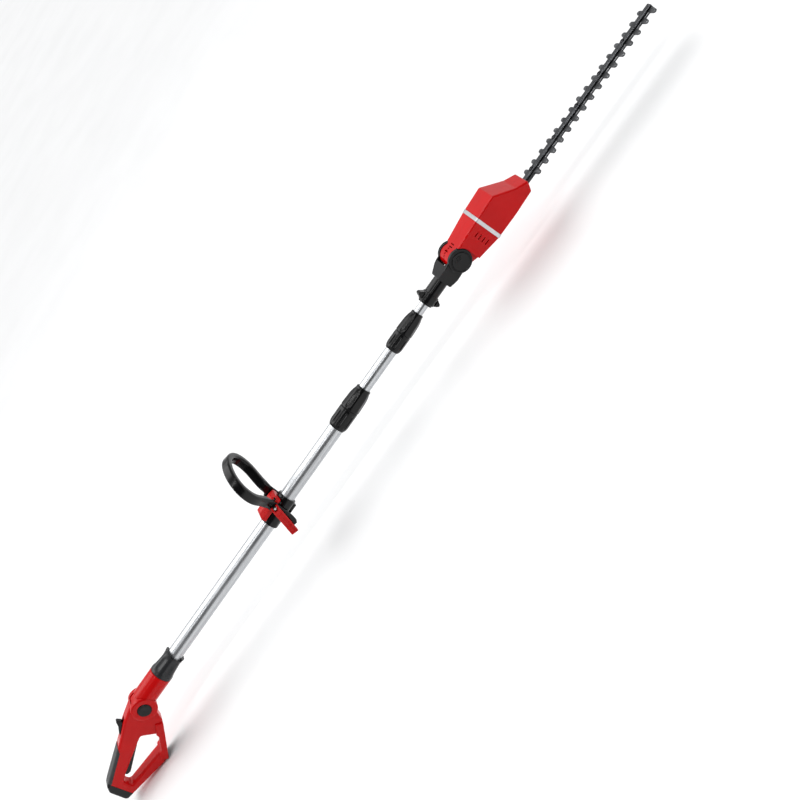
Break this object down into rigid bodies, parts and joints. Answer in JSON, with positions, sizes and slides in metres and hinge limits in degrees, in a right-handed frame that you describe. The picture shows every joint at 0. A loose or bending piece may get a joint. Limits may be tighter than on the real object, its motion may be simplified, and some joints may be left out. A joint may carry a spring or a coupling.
{
  "type": "pole hedge trimmer",
  "caption": "Telescopic pole hedge trimmer with a double-sided blade on a tilting motor head, a loop handle and a folding rear trigger handle.",
  "frame": {"origin": "under the middle of the whole tool, on the plane that the lowest corner of the rear handle touches", "axes": "+X along the pole towards the blade tip, +Z towards the loop handle's side, -Y is the side of the clamp lever"},
  "size_m": [2.184, 0.133, 0.3178],
  "materials": {
    "red_housing": "glossy moulded red plastic",
    "red_lever": "glossy moulded red plastic",
    "soft_grip": "satin black soft overmould",
    "black_plastic": "satin black moulded plastic",
    "grey_plastic": "plain grey acetal",
    "cable_jacket": "coiled black cable jacket",
    "pole_aluminium": "drawn and anodised, satin",
    "bright_steel": "zinc-plated steel",
    "trim_silver": "satin silver trim",
    "motor_steel": "plain steel",
    "gearbox_alloy": "die-cast",
    "blade_steel": "dark ground blade steel"
  },
  "bodies": {
    "pole": {"neck_shell_left": "red_housing", "neck_shell_right": "red_housing", "outer_tube": "pole_aluminium", "spiral_cable": "cable_jacket", "lower_clamp_base": "black_plastic", "lower_collet": "grey_plastic"},
    "handle": {"handle_shell_left": "red_housing", "handle_shell_right": "red_housing", "grip_pad": "soft_grip", "rear_cap": "soft_grip", "battery_rail": "black_plastic", "terminal_block": "black_plastic", "contact_blades": "bright_steel", "switch_box": "black_plastic", "hinge_pin": "bright_steel", "handle_screws": "bright_steel", "trigger_spring": "bright_steel"},
    "trigger": {"trigger": "black_plastic"},
    "lock_off": {"lock_off_button": "black_plastic"},
    "hinge_button": {"hinge_button": "black_plastic"},
    "collar": {"neck_collar": "black_plastic"},
    "lower_nut": {"lower_clamp_nut": "black_plastic"},
    "middle": {"middle_tube": "pole_aluminium", "middle_bush": "black_plastic", "upper_clamp_base": "black_plastic", "upper_collet": "grey_plastic"},
    "upper_nut": {"upper_clamp_nut": "black_plastic"},
    "inner": {"inner_tube": "pole_aluminium", "inner_bush": "black_plastic", "yoke": "black_plastic", "pivot_bolt": "bright_steel", "pivot_cap_left": "black_plastic", "pivot_cap_right": "black_plastic", "tilt_lock_spring": "bright_steel"},
    "tilt_lock": {"tilt_lock_sleeve": "black_plastic", "tilt_lock_pin": "bright_steel"},
    "head": {"head_shell_left": "red_housing", "head_shell_right": "red_housing", "trim_band": "trim_silver", "motor_can": "motor_steel", "gear_plate": "gearbox_alloy", "shaft_bearings": "bright_steel", "support_bar": "blade_steel", "blade_bolts": "bright_steel", "blade_nuts": "bright_steel", "head_screws": "bright_steel"},
    "rotor": {"motor_shaft": "bright_steel"},
    "gear": {"drive_gear": "motor_steel", "crank_shaft": "bright_steel"},
    "upper_blade": {"upper_blade": "blade_steel"},
    "lower_blade": {"lower_blade": "blade_steel"},
    "aux_clamp": {"tube_clamp_left": "black_plastic", "tube_clamp_right": "black_plastic", "clamp_saddle": "red_lever"},
    "loop": {"loop_handle": "soft_grip", "clamp_bolt": "bright_steel"},
    "lever": {"clamp_lever": "red_lever", "lever_pin": "bright_steel"}
  },
  "joints": [
    {"name": "handle_fold", "type": "hinge", "parent": "pole", "child": "handle", "pos_m": [-0.845, 0, 0.136], "axis": [0, 1, 0], "range_deg": [0, 40]},
    {"name": "trigger_pull", "type": "hinge", "parent": "handle", "child": "trigger", "pos_m": [-0.926, 0, 0.101], "axis": [0, 1, 0], "range_deg": [0, 6], "stiffness_Nm_per_rad": 1.5, "springref_deg": -3.44, "deforming": ["trigger_spring"]},
    {"name": "lock_off_slide", "type": "slide", "parent": "handle", "child": "lock_off", "axis": [0.9659, 0, 0.2588], "range_m": [0, 0.005], "stiffness_N_per_m": 250, "springref_m": -0.001},
    {"name": "hinge_button_press", "type": "slide", "parent": "handle", "child": "hinge_button", "axis": [0, 1, 0], "range_m": [0, 0.003], "stiffness_N_per_m": 500, "springref_m": -0.001},
    {"name": "collar_turn", "type": "hinge", "parent": "pole", "child": "collar", "pos_m": [-0.73, 0, 0.143], "axis": [1, 0, 0], "range_deg": [0, 120]},
    {"name": "lower_nut_turn", "type": "hinge", "parent": "pole", "child": "lower_nut", "pos_m": [0.043, 0, 0.143], "axis": [1, 0, 0], "range_deg": [0, 90]},
    {"name": "lower_telescope", "type": "slide", "parent": "pole", "child": "middle", "axis": [1, 0, 0], "range_m": [-0.095, 0.33], "deforming": ["spiral_cable"]},
    {"name": "upper_nut_turn", "type": "hinge", "parent": "middle", "child": "upper_nut", "pos_m": [0.251, 0, 0.143], "axis": [1, 0, 0], "range_deg": [0, 90]},
    {"name": "upper_telescope", "type": "slide", "parent": "middle", "child": "inner", "axis": [1, 0, 0], "range_m": [-0.018, 0.33]},
    {"name": "tilt_lock_slide", "type": "slide", "parent": "inner", "child": "tilt_lock", "axis": [-1, 0, 0], "range_m": [0, 0.006], "stiffness_N_per_m": 500, "springref_m": -0.001, "deforming": ["tilt_lock_spring"]},
    {"name": "head_tilt", "type": "hinge", "parent": "inner", "child": "head", "pos_m": [0.426, 0, 0.149], "axis": [0, 1, 0], "range_deg": [0, 90]},
    {"name": "gear_spin", "type": "hinge", "parent": "head", "child": "gear", "pos_m": [0.58, 0, 0.143], "axis": [0, 0, 1], "continuous": true},
    {"name": "motor_spin", "type": "hinge", "parent": "head", "child": "rotor", "pos_m": [0.528, 0, 0.143], "axis": [1, 0, 0], "continuous": true},
    {"name": "upper_blade_stroke", "type": "slide", "parent": "head", "child": "upper_blade", "axis": [1, 0, 0], "range_m": [-0.006, 0.006]},
    {"name": "lower_blade_stroke", "type": "slide", "parent": "head", "child": "lower_blade", "axis": [1, 0, 0], "range_m": [-0.006, 0.006]},
    {"name": "clamp_slide", "type": "slide", "parent": "pole", "child": "aux_clamp", "axis": [1, 0, 0], "range_m": [-0.35, 0.18]},
    {"name": "loop_tilt", "type": "hinge", "parent": "aux_clamp", "child": "loop", "pos_m": [-0.258, 0, 0.171], "axis": [0, 1, 0], "range_deg": [-25, 35]},
    {"name": "lever_open", "type": "hinge", "parent": "loop", "child": "lever", "pos_m": [-0.258, -0.037, 0.171], "axis": [-0.9397, 0, 0.342], "range_deg": [0, 100]}
  ],
  "couplings": [
    {"joint": "motor_spin", "follows": "gear_spin", "ratio": -5},
    {"joint": "lower_blade_stroke", "follows": "upper_blade_stroke", "ratio": -1}
  ]
}
